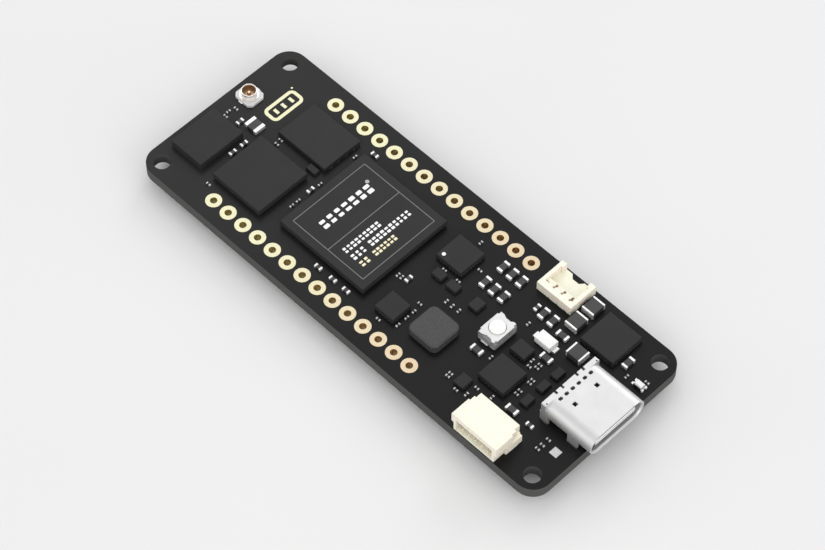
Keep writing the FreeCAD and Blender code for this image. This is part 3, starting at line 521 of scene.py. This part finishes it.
def processor_outline():
    """A thin frame with a divider."""
    cx, cy, top = processor_middle()
    frame_x = [cx + x * MM for x in FRAME_X]
    frame_y = [cy + y * MM for y in FRAME_Y]
    lines = bmesh.new()
    for x in (*frame_x, cx + DIVIDER_X * MM):
        add_slab(lines, x - FRAME_LINE / 2, x + FRAME_LINE / 2, *frame_y, top, PRINT_THICK)
    for y in frame_y:
        add_slab(lines, *frame_x, y - FRAME_LINE / 2, y + FRAME_LINE / 2, top, PRINT_THICK / 2)
    make_piece("processor_print_frame", lines, "print_grey")


def processor_rows():
    """One bold row and three small rows of plain dashes, a little uneven in length and thickness."""
    cx, cy, top = processor_middle()
    rng = random.Random(DASH_SEED)
    for name, finish, offset, width, (pitch, dash, corner), spans in DASH_ROWS:
        x = cx + offset * MM
        marks = bmesh.new()
        for start, end in spans:
            count = max(1, round((end - start) / pitch))
            step = (end - start) / count
            for i in range(count):
                y = cy + (start + step * (i + 0.5)) * MM
                reach = dash * rng.uniform(*LENGTH_RANGE) / 2 * MM
                for side in (-1, 1):
                    middle = x + side * width * LINE_OFFSET * MM
                    half = width * LINE_HALF * MM * rng.uniform(*THICKNESS_RANGE)
                    add_slab(
                        marks, middle - half, middle + half, y - reach, y + reach,
                        top, PRINT_THICK, corner * MM,
                    )
        make_piece(name, marks, finish)


PIN_ONE_DOT = (2.99, 3.37, 0.25)            # x, y and radius, on the chip beside the pad row
PIN_ONE_CHIP_HEIGHT = 0.85
PROCESSOR_DOT = (-3.76, 4.33, 0.27)         # the same, from the middle of the processor
LIGHT_SQUARE = (30.68, -6.67, 0.54)         # x, y and half its side
LIGHT_SQUARE_CORNER = 0.03


def print_mark(name, finish, x, y, z, half, corner, thick=PRINT_THICK):
    """A small square mark, or a round one where corner is as large as half."""
    mark = bmesh.new()
    add_slab(mark, x - half, x + half, y - half, y + half, z, thick, corner)
    make_piece(name, mark, finish)


def small_prints():
    """The pin-one dots on two chips, and the plain light square beside the USB socket."""
    x, y, radius = (value * MM for value in PIN_ONE_DOT)
    print_mark("pin_one_dot", "print", x, y, BOARD_TOP + PIN_ONE_CHIP_HEIGHT * MM, radius, radius)
    cx, cy, top = processor_middle()
    x, y, radius = (value * MM for value in PROCESSOR_DOT)
    print_mark("processor_dot", "print_dim", cx + x, cy + y, top, radius, radius)
    x, y, half = (value * MM for value in LIGHT_SQUARE)
    print_mark(
        "board_print_square", "label", x, y, BOARD_TOP, half, LIGHT_SQUARE_CORNER * MM, 2 * PRINT_THICK,
    )


# ---------------------------------------------------------------------------- snap dome

DOME_SHEET = 0.06 * MM
DOME_RINGS = 10
DOME_SEGMENTS = 48


def dome_skin(mesh, centre, radius, floor):
    """One side of the dome, from its top down to the floor; returns its rim."""
    widest = math.acos((floor - centre.z) / radius)
    inner_ring = [mesh.verts.new(centre + Vector((0, 0, radius)))]
    for k in range(1, DOME_RINGS + 1):
        tilt = widest * k / DOME_RINGS
        ring = []
        for i in range(DOME_SEGMENTS):
            turn = 2 * math.pi * i / DOME_SEGMENTS
            out = radius * math.sin(tilt)
            offset = Vector((out * math.cos(turn), out * math.sin(turn), radius * math.cos(tilt)))
            ring.append(mesh.verts.new(centre + offset))
        for i in range(DOME_SEGMENTS):
            j = (i + 1) % DOME_SEGMENTS
            if k == 1:
                mesh.faces.new((inner_ring[0], ring[i], ring[j]))
            else:
                mesh.faces.new((inner_ring[i], ring[i], ring[j], inner_ring[j]))
        inner_ring = ring
    return inner_ring


def snap_dome():
    """The thin steel dome under the plunger, built as a fixed shell that fills the CAD dome's box; a real
    dome flattens as the plunger travels, but this one stays as it is.
    """
    low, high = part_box("button_dome")
    rise = high.z - low.z
    reach = (high.x - low.x) / 2
    radius = (reach ** 2 + rise ** 2) / (2 * rise)
    centre = Vector(((low.x + high.x) / 2, (low.y + high.y) / 2, high.z - radius))
    mesh = bmesh.new()
    outside = dome_skin(mesh, centre, radius, low.z)
    inside = dome_skin(mesh, centre, radius - DOME_SHEET, low.z)
    for i in range(DOME_SEGMENTS):
        j = (i + 1) % DOME_SEGMENTS
        mesh.faces.new((outside[i], inside[i], inside[j], outside[j]))
    dome = make_piece("snap_dome", mesh, "steel")
    dome.data.shade_smooth()
    dome.data.set_sharp_from_angle(angle=math.radians(SMOOTH_ANGLE))
    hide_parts("button_dome")
    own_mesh(dome)


# ---------------------------------------------------------------------------- studio

FLOOR_HALF = 3                   # metres
WORLD_STRENGTH = 0.90
# Each softbox's name, place, size and power in watts; they all face the origin.
SOFTBOXES = (
    ("key_softbox", (-0.42, 0.30, 0.55), (0.34, 0.60), 0.66),
    ("back_key", (-0.24, 0.56, 0.33), (0.25, 0.25), 0.75),
    ("front_fill", (0.30, -0.36, 0.22), (0.40, 0.30), 0.5),
    ("left_fill", (-0.24, -0.50, 0.24), (0.35, 0.30), 0.34),
    ("right_fill", (0.60, 0.02, 0.25), (0.35, 0.35), 0.80),
)


def make_floor():
    """A pale floor just under the sockets that the board stands on."""
    recipe = Recipe("studio_floor")
    cloud = recipe.remap(recipe.noise(size_mm=60.0), *CLOUD_RANGE)
    recipe.set(Base_Color=recipe.mix(cloud, rgb(0.70), rgb(0.72)), Roughness=0.8)
    mesh = bmesh.new()
    z = CAD_BOX[0][2]
    corners = [(x * FLOOR_HALF, y * FLOOR_HALF, z) for x, y in ((-1, -1), (1, -1), (1, 1), (-1, 1))]
    mesh.faces.new([mesh.verts.new(corner) for corner in corners])
    data = bpy.data.meshes.new("studio_floor")
    mesh.to_mesh(data)
    mesh.free()
    data.materials.append(recipe.material)
    floor = bpy.data.objects.new("studio_floor", data)
    bpy.context.scene.collection.objects.link(floor)


def softbox(name, place, size, power):
    data = bpy.data.lights.new(name, "AREA")
    data.shape = "RECTANGLE"
    data.size, data.size_y = size
    data.energy = power
    light = bpy.data.objects.new(name, data)
    light.location = place
    light.rotation_euler = (-Vector(place)).to_track_quat("-Z", "Y").to_euler()
    bpy.context.scene.collection.objects.link(light)


def make_lights():
    world = bpy.data.worlds.new("studio")
    world.use_nodes = True
    background = world.node_tree.nodes["Background"]
    background.inputs["Color"].default_value = rgb(1.0)
    background.inputs["Strength"].default_value = WORLD_STRENGTH
    bpy.context.scene.world = world
    for name, place, size, power in SOFTBOXES:
        softbox(name, place, size, power)
    bpy.context.scene.view_settings.view_transform = "Standard"
    bpy.context.scene.view_settings.look = "None"


# ---------------------------------------------------------------------------- run

make_camera()
dress_nodes()
processor_outline()
processor_rows()
small_prints()
snap_dome()
make_floor()
make_lights()
